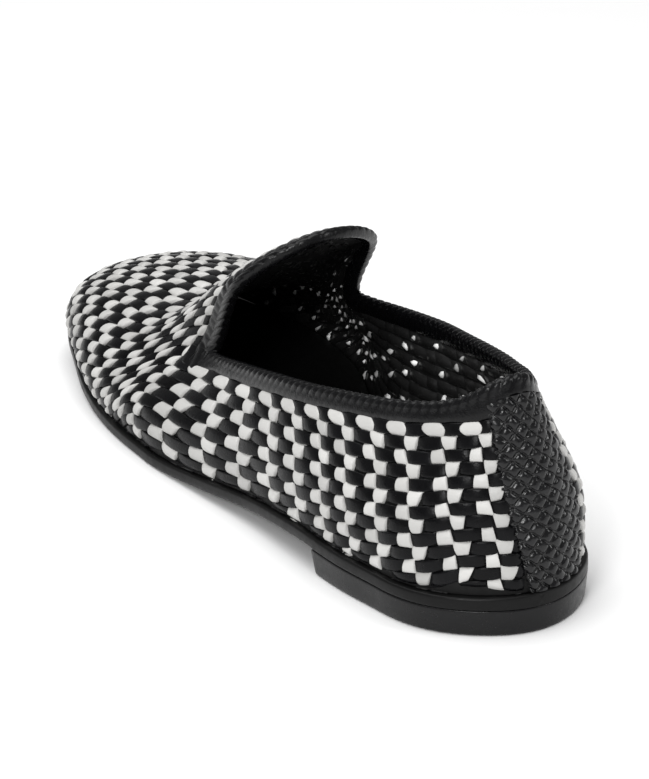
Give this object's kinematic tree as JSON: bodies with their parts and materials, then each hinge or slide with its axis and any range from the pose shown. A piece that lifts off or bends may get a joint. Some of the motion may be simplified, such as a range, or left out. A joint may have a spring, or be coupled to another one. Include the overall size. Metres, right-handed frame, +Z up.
{
  "type": "woven loafer",
  "caption": "Left slip-on loafer with a woven leather upper, raised dome tongue, bound collar, thin leather sole and low block heel.",
  "frame": {"origin": "on the floor under the middle of the shoe's outline", "axes": "+X towards the toe, +Y towards the outer side of the foot, +Z up"},
  "size_m": [0.2798, 0.0926, 0.0799],
  "materials": {
    "outsole": "satin black sole leather",
    "heel": "satin black stacked leather",
    "insole": "matt black lining leather",
    "upper": "black and white leather strips, satin",
    "heel_counter": "black braided leather, satin",
    "collar_band": "black leather with a whipped edge, satin",
    "tongue_binding": "black braided leather, satin"
  },
  "bodies": {
    "root": {"outsole": "outsole", "heel": "heel", "insole": "insole", "upper": "upper", "heel_counter": "heel_counter", "collar_band": "collar_band", "tongue_binding": "tongue_binding"}
  },
  "joints": []
}
